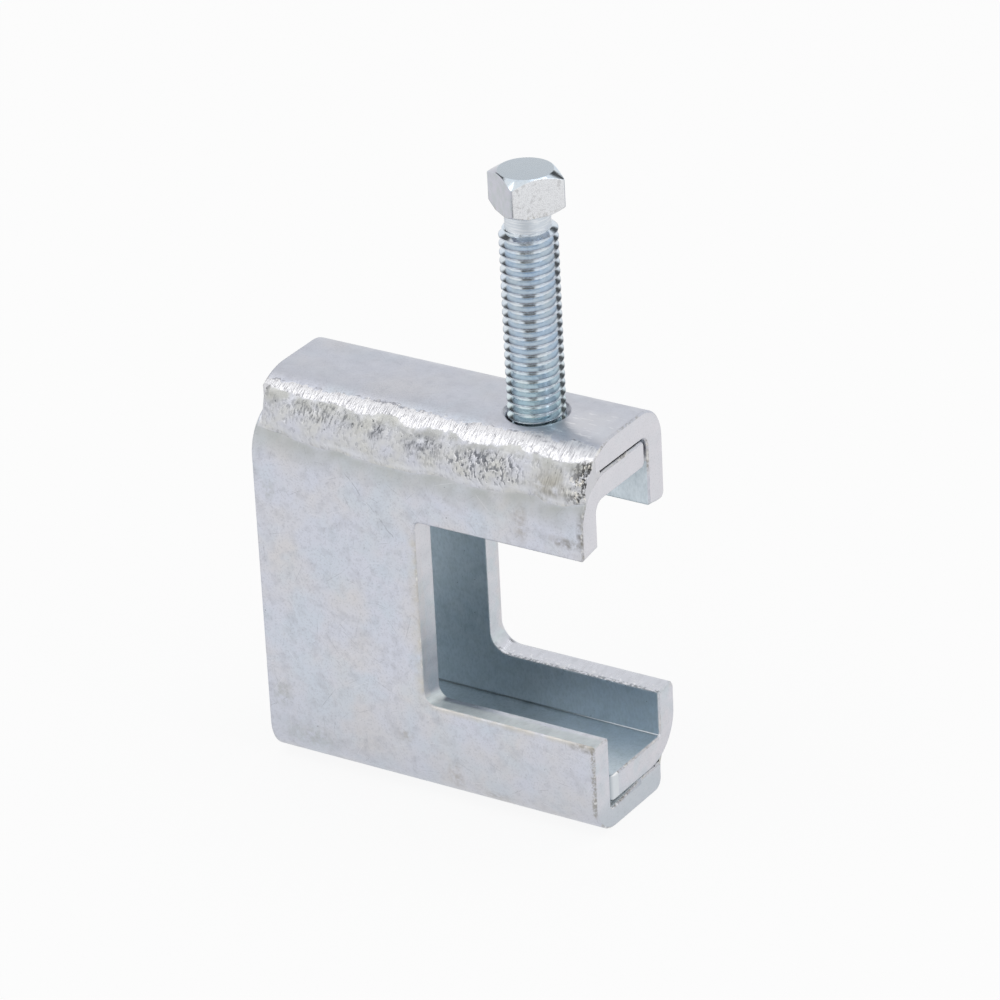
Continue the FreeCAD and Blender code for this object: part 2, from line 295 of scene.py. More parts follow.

# Inside of the clamp: a paler, bluer tone with few marks, painted shade deep in the hollow, and a painted
# dark line along the inside corner of the floor that turns into a painted highlight near the open end
inside = meet(tree, (depth, 10.9, 10.8), (place[2], 4.8, 4.9), (place[2], 79.0, 78.9), flat)
tone = lay(tree, tone, "#D2DDE4", 0.85, inside)
# Painted shade deep inside, towards the closed end and on the lower faces
shaded = either(tree, meet(tree, (facing[2], 0.5, 0.2)), meet(tree, (place[1], -3.0, 7.0)))
shaded = meet(tree, shaded, (place[0], 5.0, 26.0), (place[2], 40.0, 30.0), inside)
tone = lay(tree, tone, "#A6B8C8", 0.42, shaded)
cloth = clouds(tree, where, 0.5, 0.42, 0.72, 4.0, seed=56.0, stretch=(1, 1, 0.5))
tone = lay(tree, tone, "#8F9DA3", 0.26, inside, cloth)
mossy = clouds(tree, where, 3.0, 0.45, 0.70, 3.0, seed=59.0)
tone = lay(tree, tone, "#A5B3AF", 0.22, inside, mossy, (place[2], 70.0, 60.0))
tone = lay(tree, tone, "#FFFFFF", 0.8, inside, bright, facing[2])
# Painted shade along the inside corner of the floor deep inside, and a painted highlight along it near the
# open end
corner = meet(
    tree, (place[1], 9.3, 9.4), (place[1], 11.2, 11.1), (place[2], 12.0, 12.2), (place[2], 14.4, 14.2),
    (across, 0.3, 0.2),
)
leans = add(tree, "Math", {0: facing[1], 1: facing[2]}, operation="ADD")[0]
halfway = add(tree, "Math", {0: leans}, operation="ABSOLUTE")[0]
crease = meet(tree, corner, (halfway, 0.34, 0.12), (side, 0.1, 0.2))
tone = lay(tree, tone, "#4A5359", 0.8, crease, (place[0], 36.0, 10.0))
tone = lay(tree, tone, "#F4F6F8", 0.8, crease, (place[0], 20.0, 38.0))
tone = lay(tree, tone, "#4A565C", 0.7, inside, dark)
# Painted light in the narrow gap under the lapped floor flange, made nearly white to lift the dark of the
# slit
pocket = meet(
    tree, (place[2], 6.25, 6.15), (place[2], 4.8, 4.9), (place[1], 2.2, 1.8), (place[1], -10.8, -10.7)
)
tone = lay(tree, tone, "#F2F7F9", 0.9, pocket, flat)

# Band on the long top edge where the flange was ground with the weld: bright, with cross marks
# every 0.3 mm and a ragged upper edge with dark nicks
edge = line_of(tree, place[0], ground_edge, -12.0, -4.0)
ragged = clouds(tree, where, 1.1, 0.3, 0.7, 4.0, seed=21.0, to=(-0.6, 0.6))
past = add(tree, "Math", {0: edge, 1: ragged}, operation="ADD")[0]
past = add(tree, "Math", {0: past, 1: place[1]}, operation="SUBTRACT")[0]
high = meet(tree, (place[2], 85.0, 85.2))
ground = meet(tree, (past, 0.0, 0.3), high, (place[1], -4.0, -4.1))
groove, marks = ground_marks(tree, where)
tone = lay(tree, tone, lay(tree, "#E4E4E7", "#AEAEB4", marks), ground)
nick = clouds(tree, where, 1.5, 0.53, 0.58, 4.0, seed=40.0, stretch=(0.4, 1, 1))
tone = lay(tree, tone, "#7B7B82", 0.65, (past, -0.3, 0.0), (past, 0.45, 0.1), nick, high)

# Punched faces of the throat: a creamy torn band along the outside, smoother grey inside it, and
# nicks along the ledge of the far web
cut = meet(
    tree, (side, 0.4, 0.2), (place[0], -1.4, -1.2), (place[2], 22.4, 22.6), (place[2], 68.8, 68.6)
)
limit = clouds(tree, where, 2.0, 0.3, 0.7, 4.0, seed=35.0, to=(13.6, 15.2))
out = add(tree, "Math", {0: depth, 1: limit}, operation="SUBTRACT")[0]
torn = meet(tree, (out, 0.0, 0.4), (facing[2], 0.5, 0.3))
tone = lay(tree, tone, lay(tree, "#CDD5D8", "#D6D3CD", torn), 0.85, cut)
level = meet(tree, cut, (facing[2], 0.5, 0.8))
# The lower punched face is painted paler towards the closed end, as painted light against the dark interior
# it reflects there
seat = meet(tree, level, (place[1], 0.0, -0.1))
tone = lay(tree, tone, lay(tree, "#EEF4F5", "#D0D6D9", (place[0], 4.0, 30.0)), 0.9, seat)
ledge = meet(tree, level, (place[1], 0.0, 0.1))
tone = lay(tree, tone, "#CFCFD8", 0.7, ledge)
brink = clouds(tree, where, 0.7, 0.44, 0.54, 4.0, seed=62.0)
tone = lay(tree, tone, "#6E757B", 0.7, ledge, brink, (depth, 11.7, 11.3))
nicks = clouds(tree, where, 0.9, 0.56, 0.60, 4.0, seed=63.0)
tone = lay(tree, tone, "#F6F6F8", 0.4, ledge, nicks, (depth, 13.2, 12.6))
drag = clouds(tree, where, 0.9, 0.45, 0.70, 4.0, seed=44.0, stretch=(1, 0.3, 1))
tone = lay(tree, tone, "#8F9193", 0.16, cut, drag)

# End faces: sheared across the plate, paler, with stained and rubbed edges
ends = meet(tree, (across, 0.9, 0.95))
sheared = lay(tree, "#D8D7DD", "#CCD2D8", clouds(tree, where, 3.4, 0.40, 0.66, 4.0, seed=57.0))
tone = lay(tree, tone, sheared, 0.7, ends)
tone = lay(tree, tone, "#DDDCE1", 0.7, ends, (place[2], 50.0, 60.0))
tone = lay(tree, tone, "#BCC3CA", 0.7, ends, (place[2], 8.0, 5.0))
tone = lay(tree, tone, "#8F9298", 0.3, ends, clouds(tree, where, 0.35, 0.52, 0.80, 3.0, seed=58.0))
lip = meet(
    tree, (place[2], 6.2, 6.4), (place[2], 12.6, 12.4), (place[1], -10.7, -10.6), (place[1], -7.2, -7.4)
)
edges = meet(tree, (across, 0.3, 0.5), (across, 0.92, 0.88))
for bare in (lip, cut):
    edges = add(tree, "Math", {0: edges, 1: bare}, operation="SUBTRACT")[0]
edges = either(tree, edges, 0.0)
# Painted shade and highlight across the round corner of the floor's free edge at the open end: dark teal by
# the web, pale towards the end face, and a painted highlight along its top
turned = meet(tree, lip, (across, 0.05, 0.15), (place[0], 39.2, 39.5))
tone = lay(tree, tone, lay(tree, "#8F9BA3", "#D6DBDF", (place[0], 41.3, 42.0)), 0.85, turned)
tone = lay(tree, tone, "#F8F9FA", turned, (place[2], 12.0, 12.3))
front = add(tree, "Math", {0: place[0], 1: 41.0}, operation="GREATER_THAN")[0]
patchy = clouds(tree, where, 5.0, 0.42, 0.60, 3.0, seed=75.0)
rim = meet(tree, edges, front, patchy, clouds(tree, where, 0.8, 0.4, 0.6, 4.0, seed=6.0))
beside = meet(tree, (place[0], 41.25, 41.7), outer, clouds(tree, where, 0.5, 0.42, 0.58, 4.0, seed=16.0))
tone = lay(tree, tone, "#8D897F", 0.7, either(tree, rim, beside))
tone = lay(tree, tone, "#F1F0ED", 0.7, edges, patchy, clouds(tree, where, 1.0, 0.50, 0.62, 5.0, seed=74.0))

rough = clouds(tree, where, 3.0, 0.3, 0.7, 4.0, seed=17.0, to=(0.30, 0.44))
upright = meet(tree, cut, (across, 0.5, 0.8))
for mask, change in ((cut, -0.08), (seat, 0.26), (upright, 0.2), (pocket, 0.4)):
    rough = add(tree, "Math", {0: mask, 1: change, 2: rough}, operation="MULTIPLY_ADD")[0]

# Skin of the plate: corners rounded by the barrel but square along the floor, a faint orange peel
# of 1.5 mm, grain of 0.3 mm, and the pinholes and grooves of grinding as hollows
skin = add(tree, "Bevel", {"Radius": 0.0005}, samples=2)[0]
falls = meet(tree, (leans, 0.05, -0.05))
square = add(tree, "Mix", {0: falls, 4: (0, 0, 1), 5: (0, -1, 0)}, data_type="VECTOR")[1]
skin = add(tree, "Mix", {0: corner, 4: skin, 5: square}, data_type="VECTOR")[1]
peel = add(tree, "TexNoise", {"Vector": where, "Scale": 1 / 1.5, "Detail": 3.0})[0]
grain = add(tree, "TexNoise", {"Vector": where, "Scale": 1 / 0.3, "Detail": 2.0})[0]
holes = either(tree, dark, meet(tree, ground, groove, 0.7))
for height, strength, deep, hollow in (
    (peel, 0.3, 0.00005, False), (grain, 0.25, 0.00002, False), (holes, 0.6, 0.00005, True),
):
    bump = {"Height": height, "Strength": strength, "Distance": deep, "Normal": skin}
    skin = add(tree, "Bump", bump, invert=hollow)[0]
bare_metal(tree, tone, rough, skin)


def finish_node(name, material):
    """Gives a CAD node its finish in every slot."""
    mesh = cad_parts[name].data
    if not mesh.materials:
        mesh.materials.append(material)
    for i in range(len(mesh.materials)):
        mesh.materials[i] = material


finish_node("near_half", plate)

# Far half of the clamp. The same kind of pressing turned over and lapped on the near one: its upper
# flange is the top of the clamp, with the countersunk screw hole, and its lower flange is the floor
# of the lower jaw. Plated in the same barrel, so it carries the same finish.
finish_node("far_half", plate)

# Top weld. One run of steel weld metal that fills the groove between the near bend and the edge of
# the upper flange; the crown was ground to the round of that flange, and the rest was left as laid,
# with pits, a swollen wavy toe and a rough stop at the open end. Plated over.
weld_x0, weld_x1 = -41.5, 41.78
crown_y, crown_z, crown_r = -2.65, 77.0, 14.2
bend_y, bend_z, bend_r = -6.15, 73.9, 10.7
lap_angle, lap_cover = math.radians(123.57), -0.6
pit_r, pit_depth = 0.52, 0.24
start_length, lip_height, lip_length, toe_length = 1.6, 0.05, 0.5, 3.2

# Lower edge of the ground band, as (x, length of arc down from the lapped edge)
ground_low = [
    (-42, -0.9), (-38, 0.5), (-33, 0.9), (-29, 1.2), (-22, 1.0), (-17, 1.8), (-13, 1.4), (-9, 0.5),
    (-6, 1.5), (-3, 2.4), (1, 1.4), (4, 1.4), (7, 1.0), (11, 2.5), (15, 2.3), (19, 1.7), (23, 0.9),
    (26, 1.6), (30, 1.9), (35, 2.0), (38, 1.8), (42, -0.8),
]

# Hollows left in the crown, as (x, arc, half width, half height, depth), and single gas pits
hollows = [
    (1.2, 4.0, 4.2, 2.2, 0.3), (-11.0, 4.0, 2.0, 1.6, 0.22), (14.0, 5.0, 6.5, 2.6, 0.14),
    (32.5, 5.6, 5.0, 3.4, 0.16), (-30.0, 3.4, 8.0, 2.0, 0.1), (38.2, 4.4, 2.4, 3.2, 0.22),
]
gas_pits = [
    (-28.5, 3.6), (-26.0, 5.6), (-33.9, 6.9), (-29.3, 6.3), (-17.1, 4.8), (-10.9, 3.5), (-2.4, 3.1),
    (1.3, 4.3), (5.3, 4.9), (29.0, 3.3), (36.6, 8.1), (34.9, 4.1),
]

# Root of the bead, as (y, z), pushed a little into the gap of the lap
weld_root = [
    (-10.28, 83.6), (-10.28, 84.15), (-8.9, 84.2), (-8.6, 84.8), (-8.9, 85.4), (-10.28, 85.45),
    (-10.28, 88.7),
]


def smooth(value, low, high):
    """Goes from 0 at low to 1 at high with rounded ends."""
    t = min(max((value - low) / (high - low), 0.0), 1.0)
    return t * t * (3 - 2 * t)


def read_line(points, x):
    """Height of a measured line at x, rounded off between its points."""
    for (x0, h0), (x1, h1) in zip(points, points[1:]):
        if x <= x1 or (x1, h1) == points[-1]:
            return h0 + (h1 - h0) * smooth(x, x0, x1)


def crown_point(arc, drop):
    """Point of the weld's section, an arc length down from the lapped edge and a depth inside."""
    angle = lap_angle + arc / crown_r
    return (crown_y + (crown_r - drop) * math.cos(angle), crown_z + (crown_r - drop) * math.sin(angle))


def weld_depth(x, arc):
    """How far the bead lies inside the ground round, before its toe and its ends run out."""
    band = read_line(ground_low, x)
    raw = smooth(arc, band - 0.3, band + 2.4)
    swell = noise.noise(Vector((x * 0.16, arc * 0.22, 3.0)))
    lump = noise.noise(Vector((x * 0.55, arc * 0.5, 8.0)))
    depth = 0.10 + 0.09 * swell + 0.035 * lump
    for hx, ha, wide, high, deep in hollows:
        depth += deep * (1 - smooth(math.hypot((x - hx) / wide, (arc - ha) / high), 0.0, 1.0))
    for px, pa in gas_pits:
        depth += pit_depth * (1 - smooth(math.hypot(x - px, (arc - pa) * 0.8), 0.12, pit_r))
    crack = noise.noise(Vector((x * 2.3 + arc * 0.9, arc * 0.8 - x * 0.25, 2.0)))
    spread = smooth(x, 8.0, 11.0) * (1 - smooth(x, 23.0, 26.5)) * smooth(arc, 2.4, 3.4)
    spread *= 1 - smooth(arc, 6.6, 8.2)
    depth += 0.45 * spread * max(0.0, crack - 0.10)
    chop = noise.noise(Vector((x * 2.1, arc * 1.6, 1.0)))
    chop += 0.7 * noise.noise(Vector((x * 4.3, arc * 3.6, 2.0)))
    stop = smooth(x, 38.0, 40.2) * smooth(arc, 0.2, 1.8) * (1 - smooth(arc, 9.0, 11.0))
    return max(raw * depth + stop * (0.24 + 0.42 * chop), 0.0)


def weld_section(x, rows):
    """Outer surface of the weld at x, from just over the lapped edge down to the toe."""
    film = 0.012
    toe_z = read_line(toe_line, x) + 0.08 * noise.noise(Vector((x * 0.8, 0, 9)))
    toe_arc = (math.pi - math.asin((toe_z - crown_z) / crown_r) - lap_angle) * crown_r
    full = min((x - weld_x0) / start_length, 1.0)
    run_out = 1.0 - math.sqrt(1.0 - (1.0 - full) ** 2) if full < 1.0 else 0.0
    tip = 0.22 * smooth(x, weld_x1 - 0.3, weld_x1)
    points = []
    for row in range(rows):
        arc = lap_cover + (toe_arc - lap_cover) * row / (rows - 1)
        depth = weld_depth(x, arc) - film if arc > 0 else -film
        y, z = crown_point(arc, 0.0)
        bare = math.hypot(y - bend_y, z - bend_z) - bend_r + 0.06
        left = max(toe_arc - arc, 0.0)
        lift = lip_height * math.sqrt(max(0.0, 1 - (1 - min(left / lip_length, 1)) ** 2))
        swollen = math.sin(min(left / toe_length, 1.0) * math.pi / 2) ** 1.2
        body = max(bare - depth - lip_height, 0.0) * swollen
        sunk = (1 - smooth(x, weld_x0, weld_x0 + 6.0)) * smooth(arc, 1.0, 9.5)
        depth = bare - (lift + body) * (1 - 0.9 * sunk) + tip + 1.2 * run_out
        points.append(crown_point(arc, min(depth, bare)))
    return points


def swept_mesh(name, sections):
    """Closed mesh through rings of (x, y, z) in millimetres, all of one length."""
    ring = len(sections[0])
    verts = [(x / 1000, y / 1000, z / 1000) for section in sections for x, y, z in section]
    faces = []
    for i in range(len(sections) - 1):
        for k in range(ring):
            n = (k + 1) % ring
            faces.append((i * ring + k, (i + 1) * ring + k, (i + 1) * ring + n, i * ring + n))
    faces.append(list(range(ring)))
    faces.append([(len(sections) - 1) * ring + k for k in reversed(range(ring))])
    mesh = bpy.data.meshes.new(name)
    mesh.from_pydata(verts, [], faces)
    mesh.update()
    return mesh


def mesh_object(name, mesh, material):
    """Puts a finished mesh in the scene, faces turned outwards and smooth, but for the end caps."""
    work = bmesh.new()
    work.from_mesh(mesh)
    bmesh.ops.recalc_face_normals(work, faces=work.faces)
    work.to_mesh(mesh)
    work.free()
    mesh.materials.clear()
    mesh.materials.append(material)
    mesh.polygons.foreach_set("use_smooth", [len(p.vertices) < 9 for p in mesh.polygons])
    mesh.set_sharp_from_angle(angle=math.radians(50))
    made = bpy.data.objects.new(name, mesh)
    bpy.context.scene.collection.objects.link(made)
    return made


rows, columns, back_rows = 80, 560, 12
back_r, back_end = bend_r - 0.5, math.radians(114.3)
sections = []
for i in range(columns):
    x = weld_x0 + (weld_x1 - weld_x0) * i / (columns - 1)
    section = weld_section(x, rows)
    toe_angle = math.atan2(section[-1][1] - bend_z, section[-1][0] - bend_y)
    for k in range(back_rows):
        angle = toe_angle + (back_end - toe_angle) * k / (back_rows - 1)
        section.append((bend_y + back_r * math.cos(angle), bend_z + back_r * math.sin(angle)))
    sections.append([(x, y, z) for y, z in section + weld_root])
weld = swept_mesh("top_weld_bead", sections)

bead, tree, where = new_material("zinc_plated_weld_metal")
place = add(tree, "SeparateXYZ", {"Vector": where})
facing = add(tree, "SeparateXYZ", {"Vector": add(tree, "NewGeometry")["True Normal"]})

# How far down the crown a point lies from the lapped edge, and how far past the ground band
rise = add(tree, "Math", {0: place[2], 1: crown_z}, operation="SUBTRACT")[0]
reach = add(tree, "Math", {0: place[1], 1: crown_y}, operation="SUBTRACT")[0]
down = add(tree, "Math", {0: rise, 1: reach}, operation="ARCTAN2")[0]
down = add(tree, "Math", {0: down, 1: lap_angle}, operation="SUBTRACT")[0]
down = meet(tree, down, crown_r)
low = line_of(tree, place[0], ground_low, -3.0, 5.0)
ragged = clouds(tree, where, 1.3, 0.3, 0.7, 4.0, seed=21.0, to=(-0.35, 0.35))
past = add(tree, "Math", {0: down, 1: ragged}, operation="ADD")[0]
past = add(tree, "Math", {0: past, 1: low}, operation="SUBTRACT")[0]
ground = meet(tree, (past, 0.25, -0.1))

# Plating of the crown: lavender grey with cream clouds of 5 mm, olive grey under the ground band
tone = lay(tree, "#CDCFD8", "#CFCFCC", clouds(tree, where, 5.0, 0.35, 0.65, 3.0, seed=3.0))
tone = lay(tree, tone, "#A9ABB2", 0.4, clouds(tree, where, 0.9, 0.45, 0.75, 4.0, seed=13.0))
olive = meet(tree, (past, -0.1, 0.3), (past, 4.2, 1.6), clouds(tree, where, 4.0, 0.34, 0.56, 3.0, seed=7.0))
tone = lay(tree, tone, "#ABACA8", 0.75, olive)

# Where slag was knocked out: dark streaks that follow the run and brushed steel; painted shade in the
# deepest hollows, and painted shade and highlight on small pits
# Painted shade in the two deep hollows of the crown
deep = either(
    tree,
    stains_and_shade_patches(
        tree, where, clouds(tree, where, 1.4, 0.34, 0.60, 4.0, seed=24.0),
        ((1.0, -14.6, 84.6), (6.0, 3.0, 2.8)),
    ),
    stains_and_shade_patches(
        tree, where, clouds(tree, where, 1.2, 0.34, 0.60, 4.0, seed=25.0),
        ((-11.0, -14.0, 85.2), (2.4, 3.0, 2.2)),
    ),
)
tone = lay(tree, tone, "#888A90", 0.75, deep)
streaked = stains_and_shade_patches(
    tree, where, 1.0, ((17.0, -14.8, 84.2), (10.0, 3.4, 4.2)), ((-25.0, -13.5, 86.2), (14.0, 3.0, 3.0))
)
streaked = either(tree, streaked, meet(tree, deep, 2.0))
streak = clouds(tree, where, 0.5, 0.50, 0.66, 4.0, seed=14.0, stretch=(1.0, 0.4, 0.4), turn=(0, 0.25, 0.25))
streak = meet(tree, streak, (streaked, 0.1, 0.6))
tone = lay(tree, tone, "#6A6D73", 0.72, streak)
# Small pits over part of the crown drawn as painted relief: a painted dark pit and a painted highlight on
# its rim, from a shifted copy of the same pattern
painted_relief = meet(tree, (stains_and_shade_patches(tree, where, 1.0, ((17.0, -15.2, 83.6), (11.0, 3.4, 4.6))), 0.0, 0.4))
painted_relief = meet(tree, either(tree, painted_relief, meet(tree, (past, 0.6, 1.4), 0.3)), (past, 0.2, 1.0))
beyond = add(tree, "Mapping", {"Vector": where, "Location": (0.16, 0.10, 0.22)})[0]
pit_shade, cast = (
    clouds(tree, at, 0.75, 0.535, 0.60, 3.0, seed=37.0, stretch=(1.0, 0.6, 0.6), turn=(0, 0.5, 0))
    for at in (where, beyond)
)
pit_highlight = add(tree, "Math", {0: cast, 1: pit_shade}, operation="SUBTRACT")[0]
tone = lay(tree, tone, "#EFEFF2", 0.7, either(tree, pit_highlight, 0.0), painted_relief)
tone = lay(tree, tone, "#70737A", 0.8, pit_shade, painted_relief)
brushed = stains_and_shade_patches(
    tree, where, clouds(tree, where, 2.0, 0.28, 0.50, seed=26.0), ((33.2, -15.6, 83.0), (5.6, 4.0, 4.6))
)
tone = lay(tree, tone, "#B3B0A6", 0.7, brushed)
combed = clouds(tree, where, 0.3, 0.42, 0.62, seed=36.0, stretch=(1.0, 0.12, 0.12), turn=(0, 0.2, 0))
combed = meet(tree, brushed, combed)
tone = lay(tree, tone, "#8B8A86", 0.5, combed)

# Gas pits of 0.3 to 0.6 mm, thickest along the middle of the run
field = meet(tree, (past, 0.6, 1.4), (down, 8.6, 6.2), (place[0], 40.0, 36.0))
fine = meet(
    tree, specks(tree, where, 0.9, 0.16, 0.42, seed=2.0), clouds(tree, where, 5.0, 0.40, 0.54, seed=29.0)
)
dots = meet(tree, either(tree, fine, specks(tree, where, 2.3, 0.3, 0.3, seed=8.0)), field)
tone = lay(tree, tone, "#565A62", 0.85, dots)

# Rolled lip of the toe, with a painted highlight along its crest
toe = line_of(tree, place[0], toe_line, 70.0, 90.0)
above = add(tree, "Math", {0: place[2], 1: toe}, operation="SUBTRACT")[0]
toe_highlight = clouds(tree, where, 3.0, 0.30, 0.55, 3.0, seed=87.0)
tone = lay(tree, tone, "#E2E4E9", 0.6, toe_highlight, (above, 0.0, 0.8), (above, 2.4, 1.2))

# Ground band, and the stop at the open end: charred, with bright broken points
groove, marks = ground_marks(tree, where)
tone = lay(tree, tone, lay(tree, "#E4E4E7", "#AEAEB4", marks), ground)
nick = clouds(tree, where, 1.2, 0.54, 0.62, 3.0, seed=41.0)
tone = lay(tree, tone, "#85868B", 0.6, nick, (past, -0.5, -0.1), (past, 0.5, 0.1))
stop = meet(
    tree, (place[0], 36.0, 40.2), (down, 0.4, 1.6), (down, 11.6, 10.2), (facing[0], 0.9, 0.8)
)
char = meet(tree, stop, clouds(tree, where, 0.9, 0.50, 0.58, 4.0, seed=33.0, stretch=(1, 0.6, 0.45)))
tone = lay(tree, tone, "#454444", 0.9, char)
spark = meet(tree, stop, clouds(tree, where, 0.7, 0.58, 0.64, 4.0, seed=53.0, stretch=(1, 0.6, 0.45)))
tone = lay(tree, tone, "#F4F1EA", 0.9, spark)

# Cut end, flush with the two plates
end = meet(tree, (facing[0], 0.9, 0.95))
tone = lay(tree, tone, "#CFCFD3", 0.8, end)

relief = add(tree, "TexNoise", {"Vector": where, "Scale": 1 / 0.45, "Detail": 4.0})[0]
skin = add(tree, "Bump", {"Height": relief, "Strength": 0.45, "Distance": 0.00006})[0]
sooty = add(tree, "Math", {0: char, 1: spark}, operation="SUBTRACT")[0]
holes = either(tree, dots, streak, meet(tree, ground, groove, 0.7), combed, sooty)
bump = {"Height": holes, "Strength": 0.7, "Distance": 0.0001, "Normal": skin}
skin = add(tree, "Bump", bump, invert=True)[0]
smoothed = either(tree, ground, end)
rough = add(tree, "MapRange", {"Value": smoothed, "To Min": 0.42, "To Max": 0.32})[0]
bare_metal(tree, tone, rough, skin)

top_weld = mesh_object("top_weld_bead", weld, bead)
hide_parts("top_weld")
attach(top_weld, "clamp_frame")

# Bottom weld. A plain fillet run in the groove between the edge of the lower flange and the far
# bend, left as laid with its ripples, but dressed flat at the open end of the clamp; plated over.
fillet_x0, fillet_x1, dressed_x = -39.3, 42.15, 38.5
fillet_y, fillet_z, fillet_r, core_r = 10.5, 7.2, 3.6, 0.8
ripple_pitch, ripple_depth = 1.9, 0.20
fillet_rows, fillet_columns = 24, 320

# Dressed face, as (y, z) of its lower edge, its ridge and its upper edge, and the bead's root
(low_y, low_z), (mid_y, mid_z), (top_y, top_z) = (10.55, 4.05), (10.8, 6.2), (12.4, 9.85)
ridge_share = 0.35
fillet_root = [
    (10.2, 9.6), (9.9, 8.4), (9.9, 6.6), (8.4, 6.55), (8.1, 6.25), (8.4, 5.95), (9.9, 5.9), (10.2, 4.4),
]
sections = []
for i in range(fillet_columns):
    x = fillet_x0 + (fillet_x1 - fillet_x0) * i / (fillet_columns - 1)
    fade = math.sqrt(max(0.0, 1 - (1 - min(1.0, (x - fillet_x0) / 3.0)) ** 2))
    dressed = smooth(x, dressed_x - 3.5, dressed_x)
    run_out = 0.25 * smooth(x, fillet_x1 - 0.4, fillet_x1)
    section = []
    for k in range(fillet_rows):
        angle = math.radians(-88 + 138 * k / (fillet_rows - 1))
        wave = math.sin(math.pi * (x / ripple_pitch + 0.35 * math.cos(angle * 1.3)))
        ripple = ripple_depth * (1 - abs(wave))
        uneven = 0.14 + 0.14 * noise.noise(Vector((x * 0.3, angle, 4.0)))
        radius = core_r + (fillet_r - core_r - ripple - uneven) * fade
        y, z = fillet_y + radius * math.cos(angle), fillet_z + radius * math.sin(angle)
        t = k / (fillet_rows - 1)
        lower, upper = min(t / ridge_share, 1.0), max(t - ridge_share, 0.0) / (1 - ridge_share)
        flat_y = low_y + (mid_y - low_y) * lower + (top_y - mid_y) * upper
        flat_z = low_z + (mid_z - low_z) * lower + (top_z - mid_z) * upper
        flat_y -= 0.06 + 0.06 * noise.noise(Vector((x * 0.9, z * 0.9, 6.0))) + run_out
        section.append((y + (flat_y - y) * dressed, z + (flat_z - z) * dressed))
    sections.append([(x, y, z) for y, z in section + fillet_root])
fillet = swept_mesh("bottom_weld_bead", sections)

run, tree, where = new_material("zinc_plated_fillet_weld")
tone = lay(tree, "#C4C7D0", "#C6C5C0", clouds(tree, where, 4.0, 0.35, 0.65, 3.0, seed=3.0))
tone = lay(tree, tone, "#6E7076", 0.7, specks(tree, where, 1.4, 0.18, 0.40))
relief = add(tree, "TexNoise", {"Vector": where, "Scale": 1 / 0.5, "Detail": 4.0})[0]
skin = add(tree, "Bump", {"Height": relief, "Strength": 0.5, "Distance": 0.00006})[0]
bare_metal(tree, tone, 0.44, skin)

bottom_weld = mesh_object("bottom_weld_bead", fillet, run)
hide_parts("bottom_weld")
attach(bottom_weld, "clamp_frame")

# Set screw. Cold headed steel, 1/2 in across with about 13 rolled threads to the inch, with a
# relieved neck under a square head and a cup point; bright zinc plate with a blue cast.
screw_x = 21.15
pitch = 1.988
crest_r, root_r = 6.35, 5.1
crest_share, root_share = 0.125, 0.25
tip_z, neck_z, head_z = 74.7, 134.2, 138.2
neck_r, neck_slope, tip_r = 4.95, 2.6, 4.95
turns, steps_per_turn, around = 37, 16, 80
first_z = 132.97 - pitch * 33.3425

# The shank is one sheet wound round the screw's axis: each row climbs a pitch in a turn, so the
# seam meets itself a pitch higher, and both ends run in to the axis to close it
thread = bpy.data.node_groups.new("rolled_thread", "GeometryNodeTree")
sizes = {
    "Pitch": pitch / 1000,
    "Crest Radius": crest_r / 1000,
    "Root Radius": root_r / 1000,
    "Neck Radius": neck_r / 1000,
    "Point Radius": tip_r / 1000,
    "Cup Radius": 0.0032,
    "Cup Depth": 0.0017,
    "First Z": first_z / 1000,
    "Tip Z": tip_z / 1000,
    "Neck Z": neck_z / 1000,
    "Axis X": screw_x / 1000,
}
thread.interface.new_socket("Geometry", in_out="INPUT", socket_type="NodeSocketGeometry")
for name, value in sizes.items():
    thread.interface.new_socket(name, in_out="INPUT", socket_type="NodeSocketFloat").default_value = value
thread.interface.new_socket("Finish", in_out="INPUT", socket_type="NodeSocketMaterial")
thread.interface.new_socket("Geometry", in_out="OUTPUT", socket_type="NodeSocketGeometry")
size = add(thread, "NodeGroupInput")

# Where each point of the sheet stands: its turn round the axis and its height, held between the
# point and the neck, with the rest of the climb spent on running in to the axis
sheet = add(
    thread, "GeometryNodeMeshGrid",
    {"Size X": 1.0, "Size Y": 1.0, "Vertices X": turns * steps_per_turn + 1, "Vertices Y": around + 1},
)[0]
spot = add(thread, "SeparateXYZ", {0: add(thread, "GeometryNodeInputPosition")[0]})
turn = add(thread, "Math", {0: spot[1], 1: 0.5}, operation="ADD")[0]
travel = {0: spot[0], 1: float(turns), 2: turns / 2}
travel = add(thread, "Math", travel, operation="MULTIPLY_ADD")[0]
climb = add(thread, "Math", {0: travel, 1: turn}, operation="ADD")[0]
raw_z = {0: climb, 1: size["Pitch"], 2: size["First Z"]}
raw_z = add(thread, "Math", raw_z, operation="MULTIPLY_ADD")[0]
held_z = add(thread, "Clamp", {"Value": raw_z, "Min": size["Tip Z"], "Max": size["Neck Z"]})[0]
spent = add(thread, "Math", {0: raw_z, 1: held_z}, operation="SUBTRACT")[0]
spent = add(thread, "Math", {0: spent}, operation="ABSOLUTE")[0]

